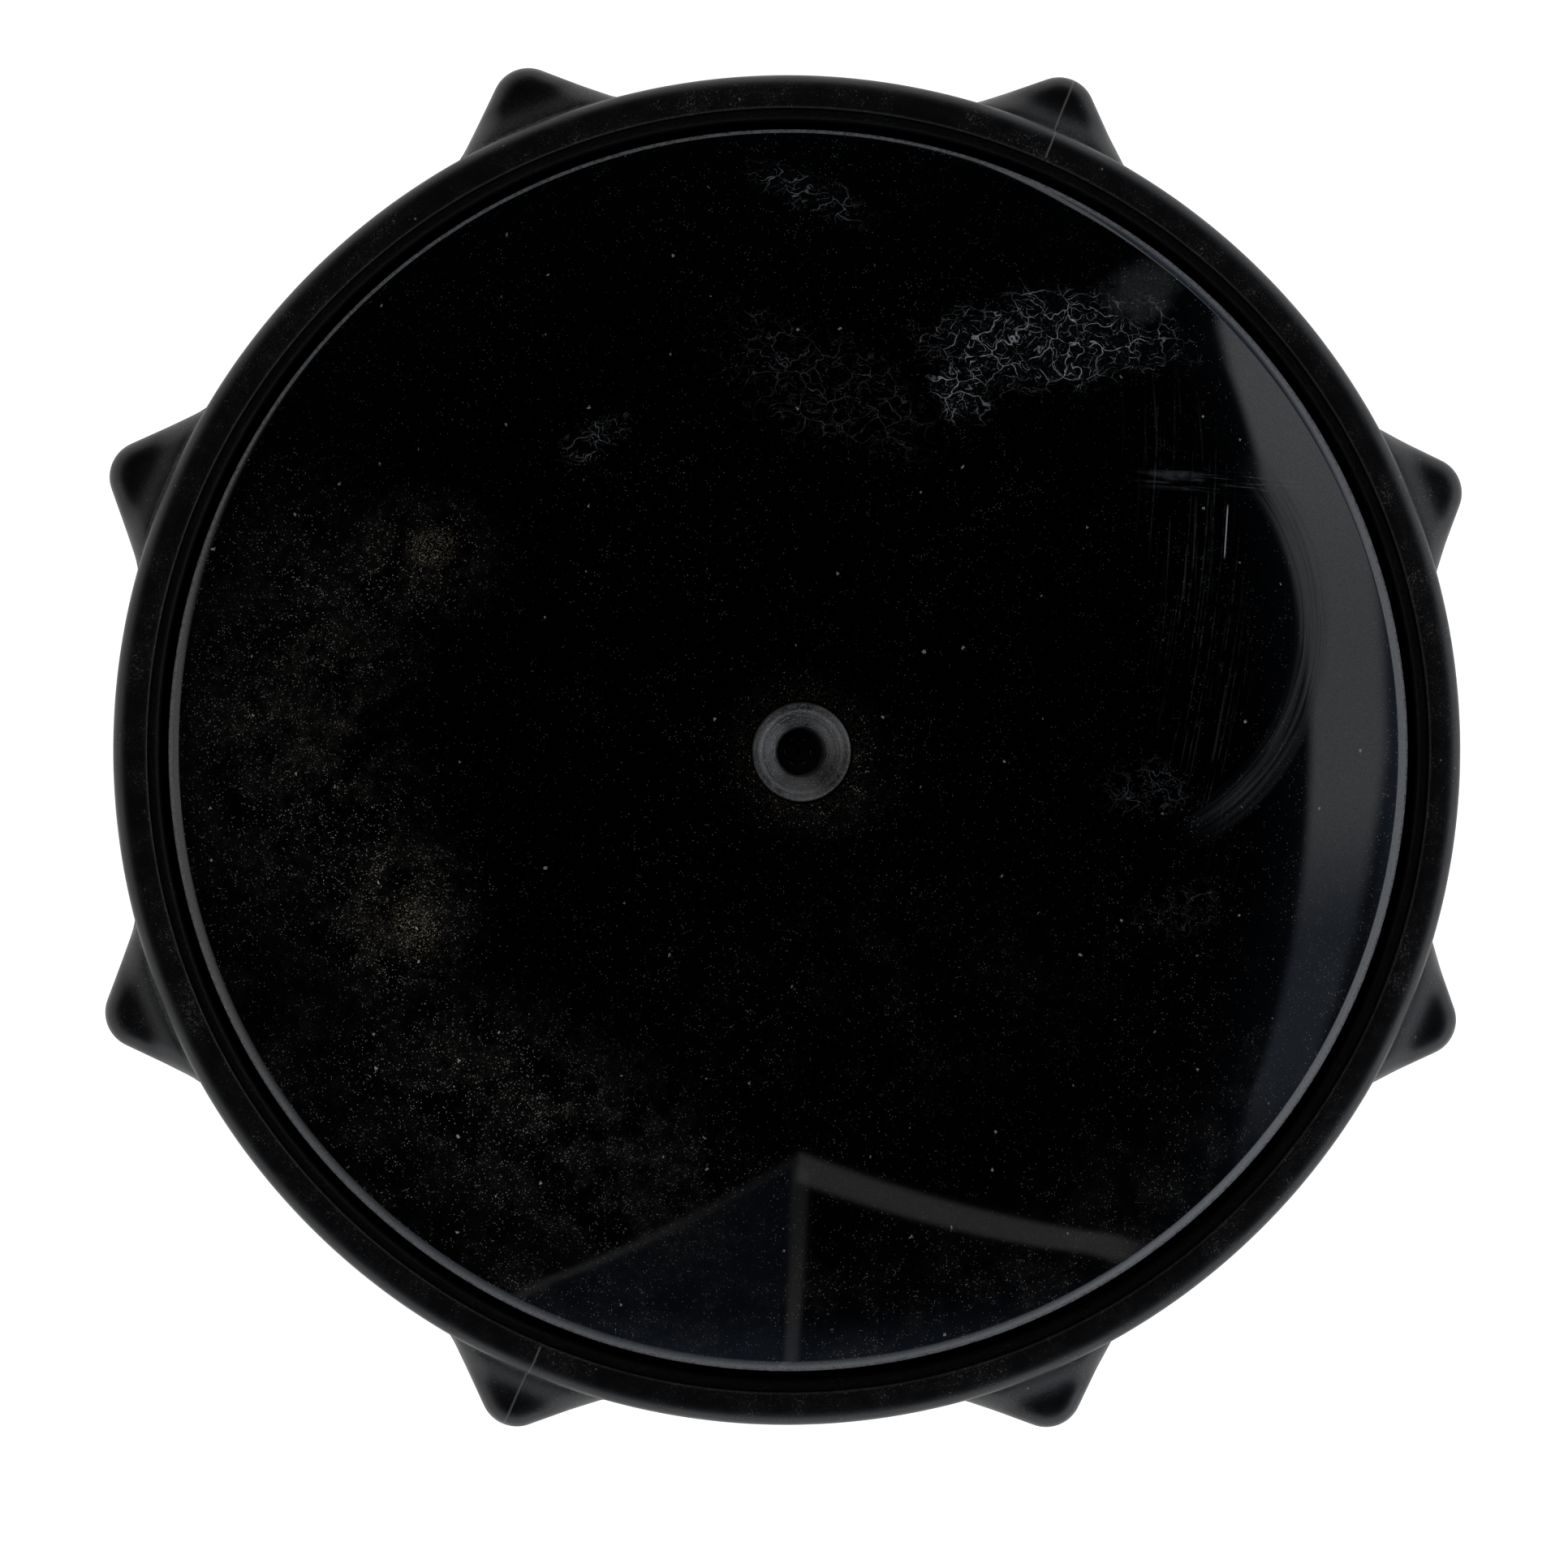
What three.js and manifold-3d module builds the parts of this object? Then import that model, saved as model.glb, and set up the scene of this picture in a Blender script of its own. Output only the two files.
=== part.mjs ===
// A 13-inch rotary surface cleaner for a pressure washer, in millimetres, +Z up.
// The origin is on the floor, at the centre of the circle that the cleaner stands on.
// A glossy domed deck sits in a rubber bumper boot with eight lugs. Water enters at the countersunk
// port in the middle of the deck, runs down through a swivel with a pair of ball bearings, and
// leaves by two tilted nozzles that spin the spray bar inside a ring of bristles.

import * as THREE from "three";
import { mergeVertices } from "three/addons/utils/BufferGeometryUtils.js";
import Module from "manifold-3d";

const wasm = await Module();
wasm.setup();

// ---------------------------------------------------------------- driving dimensions

const TURN = 2 * Math.PI;
const GAP = 0.3; // clearance between touching pieces

const BOOT_R = 165.7; // over the boot's rounded lip
const BOOT_TOP = 72; // height of the lip above the floor
const BOOT_LIP_R = 157.4; // inner edge of the lip
const BOOT_FOOT = 4; // gap under the boot wall, between the lugs
const LUGS = 8;
const LUG_TIP_R = 181; // radius to a lug's rounded tip
const LUG_ROUND = 9; // radius of the tip in plan
const LUG_HALF_ANGLE = (47.5 * Math.PI) / 180; // half of the corner between a lug's flanks
const LUG_TOP = 60;
const LUG_EDGE = 3.5; // bevel round a lug's top and foot

const CHASSIS_Z = 48; // underside of the chassis ring
const CHASSIS_WEB = 4; // thickness of its flat web
const CHASSIS_WALL = [154.2, 157.1]; // the upright wall seen between the boot and the deck

const DECK_R = 152.1; // over the deck's skirt
const DECK_CAP_R = 149.2; // where the domed top meets its rounded edge
const DECK_TOP = 104;
const DECK_RISE = DECK_TOP - BOOT_TOP;
const DECK_WALL = 3.6;
const DECK_SCREW_R = 133;

const PORT_R = 12; // the port's mouth, flush with the top of the dome
const PORT_BORE_R = 5.7; // G1/4 female thread, at its minor diameter
const PORT_SEAT = [7, 9]; // the flat sealing face inside the countersink
const PORT_TOP = DECK_TOP - 0.1;
const PORT_SEAT_Z = PORT_TOP - 2.7;

const FLANGE_Z = [84, 89.7]; // the swivel's mounting flange
const FLANGE_R = 34;
const FLANGE_BOLT_R = 27;
const SWIVEL_R = 20;
const BEARING_R = 14;
const BEARING_BORE = 6.1;
const BEARING_WIDTH = 8;
const UPPER_BEARING_Z = 67.8;
const LOWER_BEARING_Z = 55.6;
const BALLS = 8;
const BALL_R = 2.2;
const BALL_PITCH_R = 10.1;
const BALL_PLAY = 0.2;
const SHAFT_R = 5.9;

const ARM_Z = 33; // height of the spray bar's axis
const ARM_R = 5;
const HUB = { length: 34, width: 28, low: 25, high: 43 };
const NOZZLE_X = 127.5; // distance of each jet from the axis
const NOZZLE_TILT = (20 * Math.PI) / 180; // the jets lean back to spin the bar

const BRUSH_R = [142.6, 147.4]; // the bristles where the channel grips them

const WIDE = 36; // facets round the large rings
const MEDIUM = 16;
const SMALL = 12;

// ---------------------------------------------------------------- materials

function finish(color, roughness, metalness = 0) {
  return new THREE.MeshStandardMaterial({ color, roughness, metalness });
}

const rubber = finish(0x141414, 0.75);
const glossPlastic = finish(0x030304, 0.08);
const mattePlastic = finish(0x151412, 0.7);
const anodised = finish(0x3a3b3e, 0.45, 0.6);
const brass = finish(0xb08d4a, 0.35, 1);
const steel = finish(0xb9babb, 0.3, 1);
const zincSteel = finish(0x8e9193, 0.4, 1);
const sealRubber = finish(0x0c0c0c, 0.6);
const whitePlastic = finish(0xe6e3da, 0.4);
const nylonBristle = finish(0x1b1c1f, 0.6);

// ---------------------------------------------------------------- shaping helpers

// A (radius, height) outline turned about Z: it closes on itself, or starts and ends on the axis.
function turned(outline, facets) {
  const points = outline.map(([radius, height]) => new THREE.Vector2(radius, height));
  if (THREE.ShapeUtils.area(points) < 0) points.reverse();
  if (points[0].x > 0 || points.at(-1).x > 0) points.push(points[0].clone());
  return new THREE.LatheGeometry(points, facets).rotateX(Math.PI / 2);
}

function rod(radius, low, high, facets = SMALL) {
  const geometry = new THREE.CylinderGeometry(radius, radius, high - low, facets);
  return geometry.rotateX(Math.PI / 2).translate(0, 0, (low + high) / 2);
}

function tube(inner, outer, low, high, facets = MEDIUM) {
  return turned([[inner, low], [outer, low], [outer, high], [inner, high]], facets);
}

// An (x, y) outline raised from one height to another.
function slab(points, low, high) {
  const shape = new THREE.Shape(points.map(([x, y]) => new THREE.Vector2(x, y)));
  const settings = { depth: high - low, bevelEnabled: false, curveSegments: 1 };
  return new THREE.ExtrudeGeometry(shape, settings).translate(0, 0, low);
}

function solid(geometry) {
  const bare = geometry.clone();
  bare.deleteAttribute("normal");
  bare.deleteAttribute("uv");
  const merged = mergeVertices(bare, 1e-4);
  const vertProperties = new Float32Array(merged.attributes.position.array);
  const triVerts = new Uint32Array(merged.index.array);
  return new wasm.Manifold(new wasm.Mesh({ numProp: 3, vertProperties, triVerts }));
}

function geometryOf(manifold) {
  const { vertProperties, triVerts } = manifold.getMesh();
  const geometry = new THREE.BufferGeometry();
  geometry.setAttribute("position", new THREE.BufferAttribute(vertProperties, 3));
  geometry.setIndex(new THREE.BufferAttribute(triVerts, 1));
  return geometry;
}

function joined(...geometries) {
  return geometries.map(solid).reduce((whole, piece) => whole.add(piece));
}

function carve(body, ...tools) {
  return tools.map(solid).reduce((rest, tool) => rest.subtract(tool), body);
}

function piece(name, shape, material) {
  const geometry = shape.isBufferGeometry ? shape : geometryOf(shape);
  geometry.computeVertexNormals();
  const mesh = new THREE.Mesh(geometry, material);
  mesh.name = name;
  return mesh;
}

// The same geometry repeated round the Z axis, at a radius, from a first angle.
function around(count, radius, first, make) {
  return Array.from({ length: count }, (_, i) => {
    const angle = first + (i * TURN) / count;
    return make(radius * Math.cos(angle), radius * Math.sin(angle), angle, i);
  });
}

function arc(cx, cy, radius, from, to, steps) {
  return Array.from({ length: steps + 1 }, (_, i) => {
    const angle = from + ((to - from) * i) / steps;
    return [cx + radius * Math.cos(angle), cy + radius * Math.sin(angle)];
  });
}

// ---------------------------------------------------------------- boot, chassis and deck

// One lug in plan, pointing along +X: two flanks that meet at a rounded corner.
function lugOutline(inset) {
  const round = LUG_ROUND - inset;
  const centre = LUG_TIP_R - LUG_ROUND;
  const swing = Math.PI / 2 - LUG_HALF_ANGLE;
  const tip = arc(centre, 0, round, -swing, swing, 4);
  const root = 160;
  const [tipX, tipY] = tip.at(-1);
  const rootY = tipY + (tipX - root) * Math.tan(LUG_HALF_ANGLE);
  return [[root, -rootY], ...tip, [root, rootY]];
}

function lug(angle) {
  const shape = new THREE.Shape(lugOutline(LUG_EDGE).map(([x, y]) => new THREE.Vector2(x, y)));
  const bevel = { bevelEnabled: true, bevelThickness: LUG_EDGE, bevelSize: LUG_EDGE, bevelSegments: 1 };
  const settings = { depth: LUG_TOP - 2 * LUG_EDGE, curveSegments: 1, ...bevel };
  return new THREE.ExtrudeGeometry(shape, settings).translate(0, 0, LUG_EDGE).rotateZ(angle);
}

function bumperBoot() {
  const lipRound = BOOT_R - BOOT_LIP_R;
  const lip = arc(BOOT_LIP_R, BOOT_TOP - lipRound, lipRound, Math.PI / 2, 0, 4);
  const hook = CHASSIS_Z - GAP;
  const ring = turned(
    [
      ...lip,
      [BOOT_R - 0.8, BOOT_FOOT + 2],
      [BOOT_R - 2.4, BOOT_FOOT],
      [160.4, BOOT_FOOT],
      [159.6, BOOT_FOOT + 1],
      [159.6, hook - 4.7],
      [155.5, hook - 4.7],
      [155.5, hook],
      [159.4, hook],
      [159.4, CHASSIS_Z + 8],
      [BOOT_LIP_R, CHASSIS_Z + 8],
    ],
    WIDE,
  );
  const lugs = around(LUGS, 0, TURN / 16, (x, y, angle) => lug(angle));
  const inside = rod(162, -1, LUG_TOP + 1, WIDE);
  const outerLugs = carve(joined(...lugs), inside);
  return piece("bumper_boot", outerLugs.add(solid(ring)), rubber);
}

// The ring that everything is screwed to. Its two lower walls grip the strip brush.
function chassisRing() {
  const [wallIn, wallOut] = CHASSIS_WALL;
  const top = BOOT_TOP - 0.7;
  const web = CHASSIS_Z + CHASSIS_WEB;
  const foot = CHASSIS_Z - 10;
  const ring = turned(
    [
      [wallOut, top],
      [wallOut, CHASSIS_Z + 7.7],
      [159.1, CHASSIS_Z + 7.7],
      [159.1, CHASSIS_Z],
      [150.7, CHASSIS_Z],
      [150.7, foot],
      [149, foot],
      [149, CHASSIS_Z],
      [141, CHASSIS_Z],
      [141, foot],
      [139.3, foot],
      [139.3, CHASSIS_Z],
      [127, CHASSIS_Z],
      [127, web],
      [wallIn, web],
      [wallIn, top],
    ],
    WIDE,
  );
  const holes = around(8, DECK_SCREW_R, 0, (x, y) =>
    rod(2.8, CHASSIS_Z - 1, web + 1, 10).translate(x, y, 0),
  );
  return piece("chassis_ring", carve(solid(ring), ...holes), mattePlastic);
}

const capRadius = (DECK_CAP_R ** 2 + DECK_RISE ** 2) / (2 * DECK_RISE);
const capCentre = DECK_TOP - capRadius;
const capHeight = (r, depth = 0) => capCentre + Math.sqrt((capRadius - depth) ** 2 - r ** 2);

function deckShell() {
  const outer = [12.3, 45, 80, 115, DECK_CAP_R].map((r) => [r, capHeight(r)]);
  const edge = [[150.6, BOOT_TOP - 0.9], [DECK_R, BOOT_TOP - 2.3]];
  const foot = CHASSIS_Z + CHASSIS_WEB + GAP;
  const skirt = [[DECK_R, foot], [DECK_R - DECK_WALL, foot]];
  const inner = [DECK_R - DECK_WALL, 110, 65, 12.3].map((r) => [r, capHeight(r, DECK_WALL)]);
  return turned([...outer, ...edge, ...skirt, ...inner], WIDE);
}

// A stiffening rib under the deck, from the central boss to the skirt.
function deckRib(angle) {
  const ends = [33, 90, 149];
  const under = [[33, 86], [149, 62]];
  const top = ends.toReversed().map((r) => [r, capHeight(r, DECK_WALL / 2)]);
  return slab([...under, ...top], -1.5, 1.5).rotateX(Math.PI / 2).rotateZ(angle);
}

function deckDome() {
  const foot = CHASSIS_Z + CHASSIS_WEB + GAP;
  const bossFace = FLANGE_Z[1] + GAP;
  const ribs = around(8, 0, 0, (x, y, angle) => deckRib(angle));
  const pillars = around(8, DECK_SCREW_R, 0, (x, y) => rod(5.2, foot, 76, 12).translate(x, y, 0));
  const boss = tube(12.3, 37, bossFace, 100.4);
  const body = joined(deckShell(), boss, ...ribs, ...pillars);
  const recess = rod(17.3, bossFace - 6, 92, MEDIUM);
  const boltHoles = around(4, FLANGE_BOLT_R, TURN / 8, (x, y) =>
    rod(3.3, bossFace - 6, 97.8, 10).translate(x, y, 0),
  );
  const screwHoles = around(8, DECK_SCREW_R, 0, (x, y) =>
    rod(2.5, foot - 1, 62, 10).translate(x, y, 0),
  );
  const flangeRoom = rod(FLANGE_R + 1, 80, bossFace, MEDIUM);
  return piece("deck_dome", carve(body, recess, flangeRoom, ...boltHoles, ...screwHoles), glossPlastic);
}

function deckScrew(x, y, i) {
  const head = CHASSIS_Z - GAP;
  const shape = turned([[0, head - 3], [3.6, head - 3], [4.5, head - 1.8], [4.5, head], [2.2, head], [2.2, 60], [0, 61]], 12);
  const socket = rod(1.7, head - 4, head - 1.2, 6);
  const screw = piece(`deck_screw_${i + 1}`, carve(solid(shape), socket), zincSteel);
  screw.position.set(x, y, 0);
  return screw;
}

// ---------------------------------------------------------------- strip brush

function brushChannel() {
  const top = CHASSIS_Z - GAP;
  const lip = CHASSIS_Z - 10;
  return piece(
    "brush_channel",
    turned(
      [
        [141.3, top],
        [141.3, lip],
        [142.3, lip],
        [142.3, top - 1.2],
        [147.7, top - 1.2],
        [147.7, lip],
        [148.7, lip],
        [148.7, top],
      ],
      WIDE,
    ),
    zincSteel,
  );
}

function bristleRing() {
  const [inner, outer] = BRUSH_R;
  const root = CHASSIS_Z - 1.8;
  const channelMouth = CHASSIS_Z - 10;
  return piece(
    "bristle_ring",
    turned(
      [
        [inner, root],
        [inner, channelMouth],
        [inner - 0.9, 0],
        [outer + 1.2, 0],
        [outer, channelMouth],
        [outer, root],
      ],
      WIDE,
    ),
    nylonBristle,
  );
}

// ---------------------------------------------------------------- inlet and swivel

function inletPort() {
  const [seatIn, seatOut] = PORT_SEAT;
  return piece(
    "inlet_port",
    turned(
      [
        [3, 82],
        [9.8, 82],
        [9.8, 92.3],
        [PORT_R, 92.3],
        [PORT_R, 97],
        [10.5, 97],
        [10.5, 99],
        [PORT_R, 99],
        [PORT_R, PORT_TOP - 0.3],
        [PORT_R - 0.3, PORT_TOP],
        [seatOut, PORT_SEAT_Z],
        [seatIn, PORT_SEAT_Z],
        [PORT_BORE_R, PORT_SEAT_Z - 1.3],
        [PORT_BORE_R, 88],
        [3, 88],
      ],
      MEDIUM,
    ),
    anodised,
  );
}

function inletStrainer() {
  const cup = solid(turned([[0, 88.3], [5.4, 88.3], [5.4, 90.8], [4.4, 90.8], [4.4, 89.2], [0, 89.2]], SMALL));
  const holes = around(6, 2.7, 0, (x, y) => rod(0.7, 88, 90, 6).translate(x, y, 0));
  return piece("inlet_strainer", carve(cup, rod(0.7, 88, 90, 6), ...holes), steel);
}

function portORing() {
  return piece("port_o_ring", new THREE.TorusGeometry(11.35, 0.75, 6, MEDIUM).translate(0, 0, 98), sealRubber);
}

function swivelBody() {
  const [flangeLow, flangeHigh] = FLANGE_Z;
  const body = turned(
    [
      [10.1, 91.7],
      [17, 91.7],
      [17, flangeHigh],
      [FLANGE_R, flangeHigh],
      [FLANGE_R, flangeLow],
      [22, flangeLow],
      [SWIVEL_R, flangeLow - 2],
      [SWIVEL_R, 45],
      [18.8, 44],
      [14.2, 44],
      [14.2, 49.5],
      [15.2, 49.5],
      [15.2, 51.3],
      [14.2, 51.3],
      [14.2, 72],
      [8.2, 72],
      [8.2, 78.5],
      [3.2, 78.5],
      [3.2, 81.7],
      [10.1, 81.7],
    ],
    MEDIUM,
  );
  const holes = around(4, FLANGE_BOLT_R, TURN / 8, (x, y) =>
    rod(3.3, flangeLow - 1, flangeHigh + 1, 10).translate(x, y, 0),
  );
  return piece("swivel_body", carve(solid(body), ...holes), brass);
}

function flangeBolt(x, y, i) {
  const face = FLANGE_Z[0] - GAP;
  const bolt = joined(rod(5.8, face - 4, face, 6), rod(2.9, face - 0.5, 97, 12));
  const mesh = piece(`flange_bolt_${i + 1}`, bolt, zincSteel);
  mesh.position.set(x, y, 0);
  return mesh;
}

function highPressureSeal() {
  const outline = [[4.8, 74], [8, 74], [8, 78.2], [7.2, 78.2], [6.4, 76.2], [5.6, 78.2], [4.8, 78.2]];
  return piece("high_pressure_seal", turned(outline, SMALL), whitePlastic);
}

function dustSeal() {
  const outline = [[8.8, 44.6], [14, 44.6], [14, 49.2], [12.8, 49.2], [12.8, 46.4], [10.2, 46.4], [9.6, 48.8], [8.8, 48.2]];
  return piece("dust_seal", turned(outline, MEDIUM), sealRubber);
}

// A retaining ring: a flat C with two pierced ears beside its gap, on the outside or the inside.
function circlip(name, inner, outer, low, high, earsOutside) {
  const gapAngle = 0.32;
  const band = [
    ...arc(0, 0, outer, gapAngle, TURN - gapAngle, 20),
    ...arc(0, 0, inner, TURN - gapAngle, gapAngle, 20),
  ];
  const earR = earsOutside ? outer - 0.4 : inner + 0.2;
  const ears = [gapAngle, -gapAngle].map((angle) =>
    rod(1.3, low, high, 8).translate(earR * Math.cos(angle), earR * Math.sin(angle), 0),
  );
  const holes = [gapAngle, -gapAngle].map((angle) =>
    rod(0.5, low - 1, high + 1, 6).translate(earR * Math.cos(angle), earR * Math.sin(angle), 0),
  );
  return piece(name, carve(joined(slab(band, low, high), ...ears), ...holes), steel);
}

// ---------------------------------------------------------------- bearings

// A race is a plain ring with a groove for the balls, given its back, shoulder and groove radii.
function race(name, back, shoulder, groove, z) {
  const half = BEARING_WIDTH / 2 - 0.05;
  const outline = [
    [back, z - half],
    [shoulder, z - half],
    [shoulder, z - 1.9],
    [groove, z - 0.9],
    [groove, z + 0.9],
    [shoulder, z + 1.9],
    [shoulder, z + half],
    [back, z + half],
  ];
  return piece(name, turned(outline, MEDIUM), steel);
}

function outerRace(name, z) {
  const groove = (BALL_PITCH_R + BALL_R + BALL_PLAY) / Math.cos(Math.PI / MEDIUM);
  return race(name, BEARING_R, 11.7, groove, z);
}

function innerRace(name, z) {
  return race(name, BEARING_BORE, 8.5, BALL_PITCH_R - BALL_R - BALL_PLAY, z);
}

function ballCage(name, z) {
  const ring = tube(9.3, 10.9, z - 1.3, z + 1.3);
  const balls = around(BALLS, BALL_PITCH_R, 0, (x, y) =>
    new THREE.SphereGeometry(BALL_R, 6, 4).translate(x, y, z),
  );
  return piece(name, joined(ring, ...balls), steel);
}

// ---------------------------------------------------------------- rotor

function rotorShaft() {
  return piece(
    "rotor_shaft",
    turned(
      [
        [2.6, 77.8],
        [4.5, 77.8],
        [4.5, 73.6],
        [SHAFT_R, 73.6],
        [4.8, 73.4],
        [4.8, 72.2],
        [SHAFT_R, 72.2],
        [SHAFT_R, 51.3],
        [8.4, 51.3],
        [8.4, HUB.high + GAP],
        [SHAFT_R, HUB.high + GAP],
        [SHAFT_R, 38.3],
        [2.6, 38.3],
      ],
      SMALL,
    ),
    steel,
  );
}

function rotorHub() {
  const { length, width, low, high } = HUB;
  const [halfW, chamfer] = [width / 2, 2];
  const section = [
    [-halfW, low + chamfer],
    [-halfW + chamfer, low],
    [halfW - chamfer, low],
    [halfW, low + chamfer],
    [halfW, high - chamfer],
    [halfW - chamfer, high],
    [-halfW + chamfer, high],
    [-halfW, high - chamfer],
  ];
  const block = slab(section, -length / 2, length / 2).rotateX(Math.PI / 2).rotateZ(Math.PI / 2);
  const armBores = [0, Math.PI].map((angle) =>
    rod(ARM_R + GAP, 8, length, SMALL).rotateY(Math.PI / 2).translate(0, 0, ARM_Z).rotateZ(angle),
  );
  const crossFlow = rod(3, -9, 9).rotateY(Math.PI / 2).translate(0, 0, ARM_Z);
  const shaftBore = rod(SHAFT_R + GAP, 38, high + 1);
  const plugBore = rod(5.3, low - 1, 30.5);
  const downFlow = rod(2.6, 30, 39);
  return piece("rotor_hub", carve(solid(block), ...armBores, crossFlow, shaftBore, plugBore, downFlow), brass);
}

function hubPlug() {
  const { low } = HUB;
  const plug = joined(rod(5, low - 1, 30, SMALL), rod(7, low - 2.5, low - GAP, 6));
  return piece("hub_plug", carve(plug, rod(2.4, low - 3, low + 1, 6)), zincSteel);
}

// The pieces of one side of the spray bar, along +X.
function sprayArm(side) {
  const along = (geometry) => geometry.rotateY(Math.PI / 2).translate(0, 0, ARM_Z);
  const armPipe = along(tube(3, ARM_R, 8.3, 123.7, SMALL));
  const nut = carve(solid(along(rod(9, 17.3, 22.8, 6))), along(rod(ARM_R + GAP, 16, 24)));

  const down = (geometry) => geometry.rotateX(NOZZLE_TILT).translate(NOZZLE_X, 0, ARM_Z);
  const barrel = along(turned([[0, 112], [8.5, 112], [8.5, 131.5], [7, 133], [0, 133]], SMALL));
  const block = carve(
    joined(barrel, down(rod(7.2, -11, 0))),
    along(rod(ARM_R + GAP, 111, 124)),
    along(rod(3, 123, NOZZLE_X)),
    down(rod(3.3, -12, 0, 12)),
  );

  const spray = turned([[1.2, -6], [3, -6], [3, -12], [4.4, -13], [4.4, -17], [3, -18.3], [1.2, -18.3]], 12);
  const hexagon = rod(6.6, -15.3, -11.3, 6);
  const slot = new THREE.BoxGeometry(1.2, 10, 2.4).translate(0, 0, -18.4);
  const tip = carve(joined(spray, hexagon), slot, rod(1.1, -20, -5, 8));
  const nozzle = geometryOf(tip);

  const group = new THREE.Group();
  group.add(
    piece(`spray_arm_${side}`, armPipe, steel),
    piece(`jam_nut_${side}`, nut, zincSteel),
    piece(`nozzle_block_${side}`, block, brass),
    piece(`spray_nozzle_${side}`, down(nozzle), steel),
  );
  return group;
}

// ---------------------------------------------------------------- assembly

const housing = new THREE.Group();
housing.add(
  bumperBoot(),
  chassisRing(),
  deckDome(),
  ...around(8, DECK_SCREW_R, 0, (x, y, angle, i) => deckScrew(x, y, i)),
  brushChannel(),
  bristleRing(),
  inletPort(),
  inletStrainer(),
  portORing(),
  swivelBody(),
  ...around(4, FLANGE_BOLT_R, TURN / 8, (x, y, angle, i) => flangeBolt(x, y, i)),
  highPressureSeal(),
  outerRace("upper_outer_race", UPPER_BEARING_Z),
  piece("outer_spacer", tube(12.2, BEARING_R, 59.9, 63.5), zincSteel),
  outerRace("lower_outer_race", LOWER_BEARING_Z),
  circlip("body_circlip", 12.6, 14.7, 49.8, 51.1, false),
  dustSeal(),
);

const cages = new THREE.Group();
cages.add(ballCage("upper_ball_cage", UPPER_BEARING_Z), ballCage("lower_ball_cage", LOWER_BEARING_Z));

const rotor = new THREE.Group();
const rightArm = sprayArm("right");
const leftArm = sprayArm("left");
leftArm.rotation.z = Math.PI;
rotor.add(
  rotorShaft(),
  circlip("shaft_circlip", 5.1, 6.9, 72.4, 73.2, true),
  innerRace("upper_inner_race", UPPER_BEARING_Z),
  piece("inner_spacer", tube(BEARING_BORE, 8, 59.9, 63.5), zincSteel),
  innerRace("lower_inner_race", LOWER_BEARING_Z),
  rotorHub(),
  hubPlug(),
  rightArm,
  leftArm,
);

const surfaceCleaner = new THREE.Group();
surfaceCleaner.add(housing, cages, rotor);

export default surfaceCleaner;
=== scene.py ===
"""The looks of a 13-inch rotary surface cleaner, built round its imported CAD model."""

import math
import random
from types import SimpleNamespace

import bmesh
import bpy
from mathutils import Matrix, Vector


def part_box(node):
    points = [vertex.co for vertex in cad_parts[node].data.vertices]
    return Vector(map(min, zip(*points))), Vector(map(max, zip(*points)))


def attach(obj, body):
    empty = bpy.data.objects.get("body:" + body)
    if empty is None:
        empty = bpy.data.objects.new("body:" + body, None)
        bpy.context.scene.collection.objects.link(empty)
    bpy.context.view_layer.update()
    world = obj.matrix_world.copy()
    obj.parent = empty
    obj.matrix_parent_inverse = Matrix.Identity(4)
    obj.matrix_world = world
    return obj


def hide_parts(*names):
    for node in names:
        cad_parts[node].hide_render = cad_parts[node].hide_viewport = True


MM = 0.001
TURN = 2 * math.pi

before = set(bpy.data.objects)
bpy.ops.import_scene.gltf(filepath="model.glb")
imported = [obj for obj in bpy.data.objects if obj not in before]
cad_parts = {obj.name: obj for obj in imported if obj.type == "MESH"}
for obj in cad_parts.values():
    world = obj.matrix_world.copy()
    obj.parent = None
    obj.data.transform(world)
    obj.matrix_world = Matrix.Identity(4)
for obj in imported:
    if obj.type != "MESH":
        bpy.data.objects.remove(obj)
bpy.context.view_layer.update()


def cad_edge(node, axis, end):
    """Where a CAD node starts (end 0) or stops (end 1) along an axis, to 0.001 mm."""
    return round(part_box(node)[end][axis] / MM, 3)


def cad_middle(node, axis):
    return (cad_edge(node, axis, 0) + cad_edge(node, axis, 1)) / 2


# Sizes in millimetres. The ones that the frame can give are taken from it.
BOOT_TOP = cad_edge("bumper_boot", 2, 1)
BOOT_R = 165.7
BOOT_LIP_R = 157.4
LUGS = 8
LUG_TIP_R = 181.0
LUG_ROUND = 9.0
LUG_HALF_ANGLE = math.radians(47.5)
LUG_TOP = 60.0
MOULD_LINE = math.radians(67.5)
GROOVE_DEPTH = 10.0
CHASSIS_TOP = cad_edge("chassis_ring", 2, 1)
CHASSIS_Z = cad_edge("chassis_ring", 2, 0) + GROOVE_DEPTH
DECK_R = cad_edge("deck_dome", 0, 1)
DECK_CAP_R = 149.2
DECK_WALL = 3.6
DECK_BORE_R = 12.3
PORT_TOP = cad_edge("inlet_port", 2, 1)
DECK_TOP = PORT_TOP + 0.1
SCREWS = 8
SCREW_CIRCLE = cad_middle("deck_screw_1", 0)
BOLTS = 4
BOLT_CIRCLE = 27.0
ARM_Z = cad_middle("spray_arm_right", 2)
NOZZLE_X = cad_middle("spray_nozzle_right", 0)
NOZZLE_TILT = math.radians(20)

DECK_RISE = DECK_TOP - BOOT_TOP
CAP_RADIUS = (DECK_CAP_R**2 + DECK_RISE**2) / (2 * DECK_RISE)


# ---------------------------------------------------------------- camera and stage


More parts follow.
